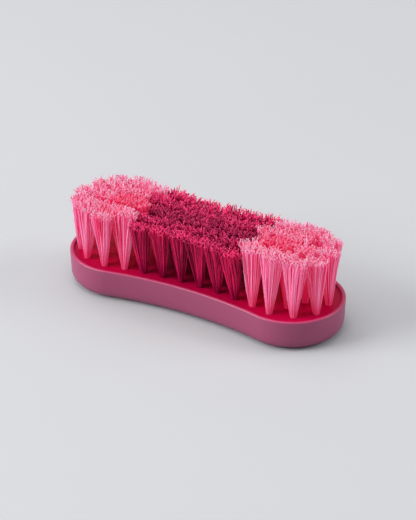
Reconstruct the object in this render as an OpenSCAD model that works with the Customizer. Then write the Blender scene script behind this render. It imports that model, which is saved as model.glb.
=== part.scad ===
// A waisted grooming brush lying on its back, tufts up.
// X runs along the body, Y across it, Z up.
// The origin is at the centre of the underside, on the surface that the brush rests on.
// Every tuft is one bundle of filaments, folded over a flat wire anchor and driven into a blind hole.

/* [Body] */
// Overall length
body_l = 180; // [170:1:200]
// Width across the two round ends
end_w = 64; // [60:1:70]
// Width across the waist
waist_w = 51.2; // [50:0.2:54]
// Height of the rim above the underside
body_h = 19.8; // [18:0.1:26]
// Radius of the rounded lower edge
lower_r = 6.4; // [3:0.1:7]
// How far the wall draws in from the rim to the lower edge
draft = 0.8; // [0:0.1:1.5]

/* [Rim] */
// Width of the rim around the tuft face
rim_w = 2.4; // [1.8:0.1:3.5]
// Depth of the tuft face below the rim
recess = 1.8; // [1:0.1:3]
// Radius of the rim's rounded edges
rim_r = 0.9; // [0.3:0.1:0.9]
// Thickness of the soft skin under the block
floor_t = 4; // [3.6:0.1:5]

/* [Tufts] */
// Distance from one tuft to the next along a row
pitch = 12.5; // [12.3:0.1:12.8]
// Distance from the body's long sides to the outer ring of tufts
ring_inset = 10.5; // [9:0.1:10.6]
// Distance from the body's two ends to the outer ring of tufts
ring_end_inset = 7.5; // [7:0.1:9]
// Shift of the whole tuft field along the body
field_shift = -1.6; // [-2:0.1:2]
// Diameter of a tuft hole
hole_d = 4.6; // [4:0.1:5]
// Depth of a tuft hole
hole_depth = 9; // [6:0.5:11]
// Width of a tuft across its tips
tip_d = 9.4; // [7:0.1:9.4]
// Height of the pale tufts above the tuft face
pale_h = 36.5; // [30:0.5:45]
// Height of the dark tufts above the tuft face
dark_h = 35.5; // [30:0.5:45]
// The dark tufts start here
dark_from = -41; // [-43:1:-38]
// The dark tufts end here
dark_to = 35; // [34:1:36]

/* [Anchors] */
// Length of the flat wire of an anchor
anchor_l = 5.4; // [5.2:0.1:6]
// Thickness of the flat wire
anchor_t = 0.4; // [0.3:0.05:0.6]
// Height of the flat wire
anchor_h = 1.8; // [1:0.1:2.5]
// Height of the anchor above the bottom of the hole
anchor_lift = 1.2; // [0.8:0.1:2]

/* [Hidden] */
ROWS = ["front_edge", "front_inner", "centre", "back_inner", "back_edge"];
ZONES = ["left", "middle", "right"];

$fn = 48;
BIG = 1; // overshoot of every cutter
END_STEPS = 36; // an even number, so that a point of the outline is on each tip
WAIST_STEPS = 11;
EDGE_STEPS = 6;
RIM_STEPS = 4;
foot_d = hole_d - 0.1; // the packed foot of a tuft

// The ring's tufts round each end, as angles from the end's tip towards the front:
// those of the front edge row, of the centre row and of the back edge row
LEFT_RING = [[60, 30], [0], [-30, -60]];
RIGHT_RING = [[59, 23], [-12], [-42, -70]];

// The outline: two round ends joined by two hollow arcs, each tangent to both ends.
end_r = end_w / 2;
end_x = body_l / 2 - end_r;
waist_r = (end_x ^ 2 + (waist_w / 2) ^ 2 - end_r ^ 2) / (end_w - waist_w);
waist_y = waist_r + waist_w / 2;
joint_a = atan2(waist_y, end_x);
face_z = body_h - recess;

// Points on an arc from angle a0 to a1, without the last one
function arc(centre, r, a0, a1, steps) = [
    for (i = [0 : steps - 1]) let (a = a0 + (a1 - a0) * i / steps) centre + r * [cos(a), sin(a)]
];

// The outline, drawn in all round by inset, counterclockwise from the front joint of the right end
function outline(inset) = concat(
    arc([end_x, 0], end_r - inset, joint_a - 180, 180 - joint_a, END_STEPS),
    arc([0, waist_y], waist_r + inset, -joint_a, joint_a - 180, WAIST_STEPS),
    arc([-end_x, 0], end_r - inset, joint_a, 360 - joint_a, END_STEPS),
    arc([0, -waist_y], waist_r + inset, 180 - joint_a, joint_a, WAIST_STEPS)
);

// Half the width of the outline at x, drawn in all round by inset
function half_w(x, inset) =
    abs(x) < end_x - (end_r - inset) * cos(joint_a)
    ? waist_y - sqrt((waist_r + inset) ^ 2 - x ^ 2)
    : sqrt((end_r - inset) ^ 2 - (abs(x) - end_x) ^ 2);

// The tufts of a row, as [x, y].
// The edge rows and the ends of the centre row make one ring around the face.
// The inner rows stand half a pitch off their neighbours.
function both_ways(xs) = concat([for (i = [len(xs) - 1 : -1 : 0]) if (xs[i] > 0) -xs[i]], xs);
function ring_tufts(end, angles) = [
    for (a = angles) [
        end * (end_x + (end_r - ring_end_inset) * cos(a)),
        -(end_r - ring_inset) * sin(a)
    ]
];
function edge_row(side) = concat(
    ring_tufts(-1, LEFT_RING[side + 1]),
    [for (x = both_ways([for (i = [0 : 4]) pitch * (i + 0.5)])) [x, side * half_w(x, ring_inset)]],
    ring_tufts(1, RIGHT_RING[side + 1])
);
function inner_row(side) = [
    for (x = both_ways([for (i = [0 : 5]) pitch * i])) [x, side * half_w(x, ring_inset) / 2]
];
centre_row = concat(
    ring_tufts(-1, LEFT_RING[1]),
    [for (x = both_ways([for (i = [0 : 5]) pitch * (i + 0.5)])) [x, 0]],
    ring_tufts(1, RIGHT_RING[1])
);
function row_tufts(row) =
    row == "front_edge" ? edge_row(-1)
    : row == "front_inner" ? inner_row(-1)
    : row == "centre" ? centre_row
    : row == "back_inner" ? inner_row(1)
    : edge_row(1);
function zone_of(x) = x < dark_from ? "left" : x > dark_to ? "right" : "middle";

// The skin's wall in section, as [inset, z]: the rounded lower edge, the drafted side,
// the rounded rim and the upright inner wall down to the floor of the pocket
lean = atan2(draft, body_h - lower_r);
foot_inset = lower_r * cos(lean) + (body_h - lower_r + lower_r * sin(lean)) * tan(lean);
skin_section = concat(
    arc([foot_inset, lower_r], lower_r, 270, 180 + lean, EDGE_STEPS),
    arc([rim_r, body_h - rim_r], rim_r, 180 + lean, 90, RIM_STEPS),
    arc([rim_w - rim_r, body_h - rim_r], rim_r, 90, 0, RIM_STEPS),
    [[rim_w, body_h - rim_r], [rim_w, floor_t]]
);

// A flat cap across the outline, as strips from each point to its mirror image across the X axis
outline_points = 2 * (END_STEPS + WAIST_STEPS);
function across(i) = (END_STEPS - i + outline_points) % outline_points;
cap = [
    for (i = [END_STEPS / 2 : (END_STEPS + outline_points) / 2 - 1])
        let (j = i + 1)
        i == across(i) ? [i, j, across(j)] : j == across(j) ? [i, j, across(i)]
        : [i, j, across(j), across(i)]
];

// Sweeps a section along the outline and caps its first and last rings
module around_outline(section) {
    count = outline_points;
    top = (len(section) - 1) * count;
    polyhedron(
        points = [for (at = section) each [for (p = outline(at[0])) [p[0], p[1], at[1]]]],
        faces = concat(
            cap,
            [for (m = [0 : count : top - count], i = [0 : count - 1]) let (j = (i + 1) % count)
                [m + i, m + count + i, m + count + j, m + j]],
            [for (face = cap) [for (k = [len(face) - 1 : -1 : 0]) top + face[k]]]
        )
    );
}

module at_tufts(tufts) {
    for (at = tufts) translate([at[0] + field_shift, at[1], face_z]) children();
}

// The flat wire of one anchor, lying across its tuft near the bottom of the hole
module anchor() {
    translate([-anchor_t / 2, -anchor_l / 2, anchor_lift - hole_depth])
        cube([anchor_t, anchor_l, anchor_h]);
}

// One tuft: its foot fills the hole, and its filaments fan out to the trimmed tips
module tuft(height) {
    difference() {
        union() {
            translate([0, 0, -hole_depth]) cylinder(h = hole_depth, d = foot_d);
            cylinder(h = height, d1 = foot_d, d2 = tip_d);
        }
        anchor();
    }
}

module tuft_group(row, zone) {
    tufts = [for (at = row_tufts(row)) if (zone_of(at[0]) == zone) at];
    dark = zone == "middle";
    color(dark ? "#b01c50" : "#e584aa") at_tufts(tufts) tuft(dark ? dark_h : pale_h);
}

module anchor_row(row) {
    color("#b9bcc0") at_tufts(row_tufts(row)) anchor();
}

// The soft outer skin: underside, side wall and rim
module grip_shell() {
    color("#a85a80") around_outline(skin_section);
}

// The solid block under the tuft face, with a blind hole for every tuft
module tuft_block() {
    color("#c0003c") difference() {
        translate([0, 0, floor_t]) linear_extrude(face_z - floor_t) polygon(outline(rim_w));
        for (row = ROWS) at_tufts(row_tufts(row)) {
            translate([0, 0, -hole_depth]) cylinder(h = hole_depth + BIG, d = hole_d);
            anchor();
        }
    }
}

grip_shell();
tuft_block();
for (row = ROWS, zone = ZONES)
    tuft_group(row, zone);
for (row = ROWS)
    anchor_row(row);
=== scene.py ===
"""A waisted grooming brush lying on its back: soft skin, hard tuft block, folded tufts and their anchors."""

import math
import random

import bmesh
import bpy
import numpy as np
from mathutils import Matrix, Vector


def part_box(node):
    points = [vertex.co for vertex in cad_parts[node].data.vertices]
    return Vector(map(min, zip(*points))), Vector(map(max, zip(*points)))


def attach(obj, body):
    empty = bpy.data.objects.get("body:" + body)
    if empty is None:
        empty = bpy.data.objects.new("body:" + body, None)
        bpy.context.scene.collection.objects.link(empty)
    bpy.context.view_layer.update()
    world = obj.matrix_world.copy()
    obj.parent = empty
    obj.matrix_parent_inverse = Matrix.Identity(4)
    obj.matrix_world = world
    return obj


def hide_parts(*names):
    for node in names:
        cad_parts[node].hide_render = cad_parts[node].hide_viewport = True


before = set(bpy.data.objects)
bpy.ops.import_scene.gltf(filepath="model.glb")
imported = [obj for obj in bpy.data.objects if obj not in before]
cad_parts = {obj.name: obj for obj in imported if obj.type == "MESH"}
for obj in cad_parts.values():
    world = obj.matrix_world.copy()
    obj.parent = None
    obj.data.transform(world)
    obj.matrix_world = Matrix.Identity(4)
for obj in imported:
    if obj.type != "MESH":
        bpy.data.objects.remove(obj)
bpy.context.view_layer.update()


# The camera
# It stands to the front left, a third of the way up, and looks down the length of the brush
# through a long lens, so that the sides of the body stay nearly parallel.
view_azimuth = math.radians(29.7)
view_elevation = math.radians(30.1)
view_distance = 1.8
lens_length = 202.9
view_centre = Vector((-0.0221, 0.0410, 0.0))
towards_camera = Vector((
    math.sin(view_azimuth) * math.cos(view_elevation),
    -math.cos(view_azimuth) * math.cos(view_elevation),
    math.sin(view_elevation),
))
optics = bpy.data.cameras.new("camera")
optics.lens = lens_length
optics.sensor_width = 36.0
camera = bpy.data.objects.new("camera", optics)
camera.location = view_centre + towards_camera * view_distance
camera.rotation_mode = "QUATERNION"
camera.rotation_quaternion = (-towards_camera).to_track_quat("-Z", "Y")
bpy.context.collection.objects.link(camera)
bpy.context.scene.camera = camera
bpy.context.scene.view_settings.view_transform = "Standard"


# The table top
# A wide sheet of pale matt board. It reaches past every view, and its faint mottle keeps the
# large even field from looking like empty paper.
class Flow:
    """A value on its way through a material. Sums and products of it add Math nodes."""

    def __init__(self, tree, socket=None):
        self.tree = tree
        self.socket = socket

    def node(self, kind, settings, sockets, out=0):
        """Adds any other node, from its type, its settings and its sockets' values or links."""
        made = self.tree.nodes.new("ShaderNode" + kind)
        for name, value in settings.items():
            if name == "stops":
                ramp = made.color_ramp.elements
                while len(ramp) < len(value):
                    ramp.new(1.0)
                for stop, (place, shade) in zip(ramp, value):
                    stop.position = place
                    stop.color = (*shade, 1.0)
            else:
                setattr(made, name, value)
        for name, value in sockets.items():
            if isinstance(value, Flow):
                self.tree.links.new(value.socket, made.inputs[name])
            else:
                made.inputs[name].default_value = value
        return Flow(self.tree, made.outputs[out] if made.outputs else None)

    def maths(self, operation, *values):
        return self.node("Math", {"operation": operation}, dict(enumerate(values)))

    def __add__(self, other):
        return self.maths("ADD", self, other)

    def __mul__(self, other):
        return self.maths("MULTIPLY", self, other)

    __radd__ = __add__
    __rmul__ = __mul__

    def blend(self, low, high):
        """The colour low where this value is 0 and high where it is 1."""
        low, high = [c if isinstance(c, Flow) else (*c, 1.0) for c in (low, high)]
        return self.node("Mix", {"data_type": "RGBA"}, {0: self, 6: low, 7: high}, out=2)


def new_material(name):
    made = bpy.data.materials.new(name)
    made.use_nodes = True
    made.node_tree.nodes.clear()
    return made, Flow(made.node_tree)


def finish_material(start, shader):
    start.node("OutputMaterial", {}, {"Surface": shader})


def noise(start, scale, detail=3.0, stretch=(1.0, 1.0, 1.0)):
    """Fine mottle from 0 to 1 that is fixed to the piece. Scale counts its blotches in a metre."""
    place = start.node("TexCoord", {}, {}, out=3)
    place = start.node("Mapping", {}, {"Vector": place, "Scale": stretch})
    return start.node("TexNoise", {}, {"Vector": place, "Scale": scale, "Detail": detail})


table_size = 9.0
board = bmesh.new()
bmesh.ops.create_grid(board, x_segments=1, y_segments=1, size=table_size / 2)
board_mesh = bpy.data.meshes.new("table_top")
board.to_mesh(board_mesh)
board.free()
table_top = bpy.data.objects.new("table_top", board_mesh)
bpy.context.collection.objects.link(table_top)

board_finish, start = new_material("pale matt board")
mottle = noise(start, 4.0).blend((0.374, 0.385, 0.400), (0.388, 0.400, 0.415))
shader = start.node("BsdfPrincipled", {}, {"Base Color": mottle, "Roughness": 0.7})
finish_material(start, shader)
board_mesh.materials.append(board_finish)


# The studio lights
# A dim pale room all round, a broad panel overhead, a strong soft panel low on the left, and a
# weaker one facing it from the right. The two low panels give the long soft shadows.
room = bpy.data.worlds.new("pale room")
room.use_nodes = True
room.node_tree.nodes["Background"].inputs["Color"].default_value = (0.95, 0.965, 1.0, 1.0)
room.node_tree.nodes["Background"].inputs["Strength"].default_value = 0.42
bpy.context.scene.world = room


def add_panel(name, azimuth, elevation, distance, size, watts):
    """A square soft light at these degrees round and up from the brush, turned to face it."""
    azimuth, elevation = math.radians(azimuth), math.radians(elevation)
    way = Vector((
        math.cos(azimuth) * math.cos(elevation),
        math.sin(azimuth) * math.cos(elevation),
        math.sin(elevation),
    ))
    lamp = bpy.data.lights.new(name, "AREA")
    lamp.size = size
    lamp.energy = watts
    lamp.color = (1.0, 0.985, 0.975)
    holder = bpy.data.objects.new(name, lamp)
    holder.location = way * distance
    holder.rotation_mode = "QUATERNION"
    holder.rotation_quaternion = (-way).to_track_quat("-Z", "Y")
    bpy.context.collection.objects.link(holder)


add_panel("overhead panel", azimuth=180.0, elevation=78.0, distance=3.2, size=3.0, watts=88.0)
add_panel("left panel", azimuth=-140.0, elevation=30.0, distance=2.6, size=1.4, watts=72.0)
add_panel("right panel", azimuth=30.0, elevation=32.0, distance=2.6, size=1.4, watts=30.0)


# The grip shell
# One soft-touch moulding over the whole back: flat underside, rounded lower edge, upright side
# wall and a narrow rounded rim. It is bonded round the tuft block, which fills it.
def add_piece(bm, name, finish):
    mesh = bpy.data.meshes.new(name)
    bm.to_mesh(mesh)
    bm.free()
    mesh.materials.append(finish)
    piece = bpy.data.objects.new(name, mesh)
    bpy.context.collection.objects.link(piece)
    return piece


shell_low, shell_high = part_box("grip_shell")
block_low, block_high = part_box("tuft_block")
end_radius = (shell_high.y - shell_low.y) / 2
end_centre = shell_high.x - end_radius
waist_width = 0.0512
rim_height = shell_high.z
rim_width = shell_high.y - block_high.y
wall_draft = 0.0008
lower_edge_radius = 0.0064
rim_edge_radius = 0.0009
underside_start = end_radius / 3
end_steps = 72
hollow_steps = 26
hollow_radius = (end_centre**2 + waist_width**2 / 4 - end_radius**2) / (2 * end_radius - waist_width)
hollow_centre = hollow_radius + waist_width / 2
joint_angle = math.atan2(hollow_centre, end_centre)

shell = bmesh.new()
start_way = Vector((-math.cos(joint_angle), -math.sin(joint_angle), 0.0))
corners = [
    shell.verts.new(Vector((end_centre, 0.0, height)) + start_way * (end_radius - inset))
    for inset, height in (
        (underside_start, 0.0),
        (wall_draft, 0.0),
        (0.0, rim_height),
        (rim_width, rim_height),
        (rim_width, block_low.z),
    )
]
for one, other in zip(corners, corners[1:]):
    shell.edges.new((one, other))
for corner, radius, segments in (
    (corners[1], lower_edge_radius, 10),
    (corners[2], rim_edge_radius, 5),
    (corners[3], rim_edge_radius, 5),
):
    bmesh.ops.bevel(
        shell, geom=[corner], offset=radius, offset_type="OFFSET", segments=segments,
        profile=0.5, affect="VERTICES", material=-1,
    )
moving = list(shell.verts) + list(shell.edges)
end_turn = 2 * (math.pi - joint_angle)
hollow_turn = 2 * joint_angle - math.pi
for centre, turn, steps in (
    ((end_centre, 0.0, 0.0), end_turn, end_steps),
    ((0.0, hollow_centre, 0.0), hollow_turn, hollow_steps),
    ((-end_centre, 0.0, 0.0), end_turn, end_steps),
    ((0.0, -hollow_centre, 0.0), hollow_turn, hollow_steps),
):
    moving = bmesh.ops.spin(
        shell, geom=moving, cent=centre, axis=(0.0, 0.0, 1.0), angle=turn, steps=steps,
        use_merge=False,
    )["geom_last"]
bmesh.ops.remove_doubles(shell, verts=shell.verts, dist=1e-6)
open_edges = [e for e in shell.edges if e.is_boundary]
bmesh.ops.edgeloop_fill(shell, edges=[e for e in open_edges if e.verts[0].co.z < block_low.z / 2])
bmesh.ops.edgeloop_fill(shell, edges=[e for e in open_edges if e.verts[0].co.z > block_low.z / 2])
bmesh.ops.recalc_face_normals(shell, faces=shell.faces)
for face in shell.faces:
    face.smooth = len(face.verts) == 4

skin_finish, start = new_material("soft mauve skin")
cloud = noise(start, 28.0, 4.0)
skin_colour = cloud.blend((0.262, 0.040, 0.104), (0.292, 0.048, 0.119))
# Over the top of the rim the skin colour is blended towards a redder crimson.
place = start.node("TexCoord", {}, {}, out=3)
height = start.node("SeparateXYZ", {}, {"Vector": place}, out=2)
redder_rim_top = start.node("MapRange", {}, {
    "Value": height, "From Min": rim_height - rim_edge_radius, "From Max": rim_height, "To Max": 0.75,
})
skin_colour = redder_rim_top.blend(skin_colour, (0.42, 0.020, 0.098))
grain = noise(start, 2600.0, 2.0)
skin_bump = start.node("Bump", {}, {"Strength": 0.12, "Distance": 0.0001, "Height": grain})
shader = start.node("BsdfPrincipled", {}, {
    "Base Color": skin_colour,
    "Roughness": cloud * 0.08 + 0.36,
    "Normal": skin_bump,
})
finish_material(start, shader)

grip_skin = add_piece(shell, "grip_skin", skin_finish)
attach(grip_skin, "root")
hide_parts("grip_shell")


# The tuft block
# A hard crimson moulding that fills the shell to just below the rim. Its face is polished where
# the mould was, and every tuft stands in a blind hole drilled through that face.
block_finish, start = new_material("hard crimson block")
cloud = noise(start, 60.0, 3.0)
block_colour = cloud.blend((0.34, 0.0003, 0.034), (0.39, 0.0005, 0.040))
shader = start.node("BsdfPrincipled", {}, {
    "Base Color": block_colour,
    "Roughness": cloud * 0.12 + 0.30,
    "Specular IOR Level": 0.1,
    "Normal": start.node("Bump", {}, {
        "Strength": 0.05, "Distance": 0.0001, "Height": noise(start, 300.0, 2.0),
    }),
})
finish_material(start, shader)
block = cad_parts["tuft_block"]
block.data.materials.clear()
block.data.materials.append(block_finish)


# The tufts
# Each is a bundle of nylon filaments, folded double over its anchor and driven into its hole,
# so that it stands up in two halves that fan out. The tips are sheared level after tufting.
filament_radius = 0.00026
filament_sides = 6
filament_rings = (0.3, 0.6, 0.93, 0.955, 0.98)
flick_start = 0.93
filaments_in_tuft = 128
clumps_in_tuft = 14
foot_radius = 0.0016
foot_depth = 0.0015
fan_x = 4.0
fan_y = 3.3
fan_split = 0.0004
trim = 0.001
clump_hold = 0.1
clump_shade_share = 0.3
stray_share = 0.04
short_share = 0.06
shortest_cut = 0.001
deepest_cut = 0.005
lean_along = -0.05
upright_rise = 0.0015
# Painted shade in the middle of the field: strand values are scaled down to inner_light on the middle line
# and reach full at light_reach out from it.
inner_light = 0.4
light_reach = 0.02

# How widely these vary from tuft to tuft, clump to clump and filament to filament
tuft_lean_spread = 0.0004
clump_foot_spread = 0.0001
clump_tip_spread = 0.0005
clump_bow_spread = 0.0004
tip_spread = 0.0006
stray_tip_spread = 0.0013
length_spread = 0.0005
bow_spread = 0.0002
flick_spread = 0.0011
thinnest = 0.9
thickest = 1.1

rod = bmesh.new()
bmesh.ops.create_cone(
    rod, cap_ends=True, segments=filament_sides, radius1=1.0, radius2=0.92, depth=1.0,
)
bmesh.ops.translate(rod, verts=rod.verts, vec=(0.0, 0.0, 0.5))
for ring in filament_rings:
    bmesh.ops.bisect_plane(
        rod, geom=rod.verts[:] + rod.edges[:] + rod.faces[:],
        plane_co=(0.0, 0.0, ring), plane_no=(0.0, 0.0, 1.0),
    )
for face in rod.faces:
    face.smooth = len(face.verts) == 4
for edge in rod.edges:
    edge.smooth = all(face.smooth for face in edge.link_faces)
along = rod.verts.layers.float.new("along")
rod.verts.layers.float.new("strand")
for vert in rod.verts:
    vert[along] = vert.co.z
rod_mesh = bpy.data.meshes.new("filament")
rod.to_mesh(rod_mesh)
rod.free()
rod_points = np.empty(len(rod_mesh.vertices) * 3, np.float32)
rod_mesh.vertices.foreach_get("co", rod_points)
rod_points = rod_points.reshape(-1, 3)
rod_height = rod_points[:, 2:3]
rod_round = rod_points * (1.0, 1.0, 0.0)
rod_end = np.maximum(rod_height - flick_start, 0.0) / (1 - flick_start)


def solids_in(node):
    """The lowest and highest corners of each separate solid of a CAD node, from left to right."""
    copy = bmesh.new()
    copy.from_mesh(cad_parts[node].data)
    bmesh.ops.remove_doubles(copy, verts=copy.verts, dist=1e-6)
    waiting = set(copy.verts)
    boxes = []
    while waiting:
        front = [waiting.pop()]
        reached = []
        while front:
            vert = front.pop()
            reached.append(vert.co.copy())
            beside = [e.other_vert(vert) for e in vert.link_edges]
            front += [v for v in beside if v in waiting]
            waiting.difference_update(beside)
        boxes.append([Vector([pick(co[i] for co in reached) for i in range(3)]) for pick in (min, max)])
    copy.free()
    return sorted(boxes, key=lambda corners: corners[0].x)


def add_filament(bundle, foot, tip, bow, flick, thick, shade):
    """Bends one filament from foot to tip, with a bow along it and a flick at its end."""
    foot, tip, bow, flick = (np.array((*v, 0.0)[:3], np.float32) for v in (foot, tip, bow, flick))
    line = foot + (tip - foot) * rod_height + bow * 4 * rod_height * (1 - rod_height)
    line += flick * rod_end**2
    rod_mesh.vertices.foreach_set("co", (line + rod_round * thick).ravel())
    rod_mesh.attributes["strand"].data.foreach_set("value", np.full(len(rod_points), shade, np.float32))
    bundle.from_mesh(rod_mesh)


def scatter(chance, spread):
    """A small random shift along X and Y."""
    return Vector((chance.gauss(0.0, spread), chance.gauss(0.0, spread)))


def spread_out(i, count, radius):
    """The place of one of many points spread evenly over a disc."""
    turn = i * math.pi * (3 - math.sqrt(5))
    return Vector((math.cos(turn), math.sin(turn))) * radius * math.sqrt((i + 0.5) / count)


def add_tuft(bundle, low, high, rise, lean, chance):
    """Fills one tuft's place with filaments: clumps in two halves, which fan out from the hole.

    Light reaches the middle of the field through other tufts, so more of the deeper shades are
    painted there, as painted shade. A tuft leans out less the more it stands proud, and past upright_rise it
    leans in.
    """
    middle = ((low + high) / 2).xy
    spine = Vector((max(-end_centre, min(end_centre, middle.x)), 0.0))
    outward = middle - spine
    lean = outward * Vector((lean_along, lean)) * (1 - rise / upright_rise)
    lean += scatter(chance, tuft_lean_spread)
    # Painted shade: tufts near the middle line get lower strand values, so more of their filaments take the
    # deep colour.
    light = inner_light + (1 - inner_light) * min(outward.length / light_reach, 1.0)
    clumps = [
        (
            spread_out(i, clumps_in_tuft, foot_radius) + scatter(chance, clump_foot_spread),
            scatter(chance, clump_tip_spread),
            scatter(chance, clump_bow_spread),
            chance.random(),
        )
        for i in range(clumps_in_tuft)
    ]
    for i in range(filaments_in_tuft):
        foot = spread_out(i, filaments_in_tuft, foot_radius)
        home, pull, bow, shade = min(clumps, key=lambda clump: (clump[0] - foot).length)
        loose = tip_spread if chance.random() < 1 - stray_share else stray_tip_spread
        spot = foot.lerp(home, clump_hold)
        tip = middle + lean + pull + scatter(chance, loose)
        tip += Vector((spot.x * fan_x + math.copysign(fan_split, foot.x), spot.y * fan_y))
        short = 0.0
        if chance.random() >= 1 - short_share:
            short = chance.uniform(shortest_cut, deepest_cut)
        height = high.z - trim + rise - short + chance.gauss(0.0, length_spread)
        foot += middle
        add_filament(
            bundle, (*foot, block_high.z - foot_depth), (*tip, height),
            bow + scatter(chance, bow_spread), scatter(chance, flick_spread),
            filament_radius * chance.uniform(thinnest, thickest),
            (chance.random() * (1 - clump_shade_share) + shade * clump_shade_share) * light,
        )


def filament_finish(name, root, stem, deep_shade, tip, clear, through, painted_glow):
    """Bright clear-coloured nylon: deeper at the foot (painted shade), paler at the cut end (painted
    highlight), no two quite alike.

    The glow is painted light: a constant red emission that stands in for the red light bounced between the
    filaments and spread inside them.
    """
    made, start = new_material(name)
    up = start.node("Attribute", {"attribute_name": "along"}, {}, out=2)
    strand = start.node("Attribute", {"attribute_name": "strand"}, {}, out=2)
    # Painted shade: the colour deepens from the stem down to the root, where the foot stands in the shade of
    # the field.
    colour = start.node("ValToRGB", {"stops": [(0.1, root), (0.4, stem)]}, {"Fac": up})
    # Painted shade: filaments with low strand values take the deep colour, the saturated red of light
    # bounced between filaments; strand values are random and lower in the middle of the field.
    depth = start.node("ValToRGB", {"stops": [(0.15, (1.0,) * 3), (0.6, (0.0,) * 3)]}, {"Fac": strand})
    colour = depth.blend(colour, deep_shade)
    # Painted highlight: the cut ends are paler, less so on filaments with low strand values.
    cut_end_highlight = start.node("MapRange", {}, {"Value": up, "From Min": 0.965, "From Max": 0.99})
    colour = (cut_end_highlight * (strand * 0.85 + 0.15)).blend(colour, tip)
    body = start.node("BsdfPrincipled", {}, {
        "Base Color": colour,
        "Roughness": strand * 0.15 + 0.35,
        "Specular IOR Level": 0.2,
        # Painted glow: a red emission, though the filament is no lamp.
        "Emission Color": (1.0, 0.01, 0.14, 1.0),
        "Emission Strength": painted_glow,
    })
    behind = start.node("BsdfTranslucent", {}, {"Color": (*through, 1.0)})
    finish_material(start, start.node("MixShader", {}, {0: clear, 1: body, 2: behind}))
    return made


# Below, the root and deep colours are painted shade, the tip colours a painted highlight on the cut ends and
# the glow a painted red light.
pale_filament = filament_finish(
    "pale pink filament", root=(0.86, 0.27, 0.54), stem=(0.90, 0.60, 0.93), deep_shade=(0.79, 0.02, 0.16),
    tip=(0.55, 0.72, 0.76), clear=0.45, through=(0.90, 0.25, 0.48), painted_glow=0.18,
)
dark_filament = filament_finish(
    "dark magenta filament", root=(0.48, 0.005, 0.10), stem=(0.92, 0.016, 0.15),
    deep_shade=(0.24, 0.0005, 0.035), tip=(1.0, 0.08, 0.28), clear=0.1, through=(0.60, 0.004, 0.08), painted_glow=0.0,
)

# How far each zone's tufts lean out from the middle of the body, for each metre from it, and how
# far single tufts stand above or below the level of the rest, from left to right
leans = {"left": 0.12, "middle": 0.36, "right": 0.11}
level = (0.0,) * 6
rises = {
    "front_edge_left_tufts": (0.0, 0.0, 0.0, 0.0022),
    "front_edge_right_tufts": (0.0022, 0.0028, 0.0014, 0.0),
    "centre_left_tufts": (-0.0005, 0.0, 0.0, 0.0),
    "centre_right_tufts": (0.0, 0.0, 0.0, -0.0005),
    "back_edge_left_tufts": (-0.0008, 0.0, 0.0, 0.0006),
    "back_edge_right_tufts": (0.0, 0.0, 0.0005, 0.0008),
}
rows = ("front_edge", "front_inner", "centre", "back_inner", "back_edge")
zones = ("left", "middle", "right")
for row in rows:
    for zone in zones:
        node = f"{row}_{zone}_tufts"
        chance = random.Random(node)
        bundle = bmesh.new()
        for i, (low, high) in enumerate(solids_in(node)):
            add_tuft(bundle, low, high, rises.get(node, level)[i], leans[zone], chance)
        finish = dark_filament if zone == "middle" else pale_filament
        bristles = add_piece(bundle, f"{row}_{zone}_bristles", finish)
        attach(bristles, "root")
        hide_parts(node)


# The anchors
# Short lengths of flat wire, one across each folded tuft near the bottom of its hole. The wire
# bites into the wall of the hole on both sides and holds the tuft down.
wire_finish, start = new_material("flat drawn wire")
streaks = noise(start, 900.0, 2.0, stretch=(1.0, 0.08, 1.0))
shader = start.node("BsdfPrincipled", {}, {
    "Base Color": streaks.blend((0.42, 0.43, 0.44), (0.62, 0.63, 0.64)),
    "Metallic": 1.0,
    "Roughness": streaks * 0.2 + 0.25,
})
finish_material(start, shader)
for row in rows:
    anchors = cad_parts[f"{row}_anchors"]
    anchors.data.materials.clear()
    anchors.data.materials.append(wire_finish)
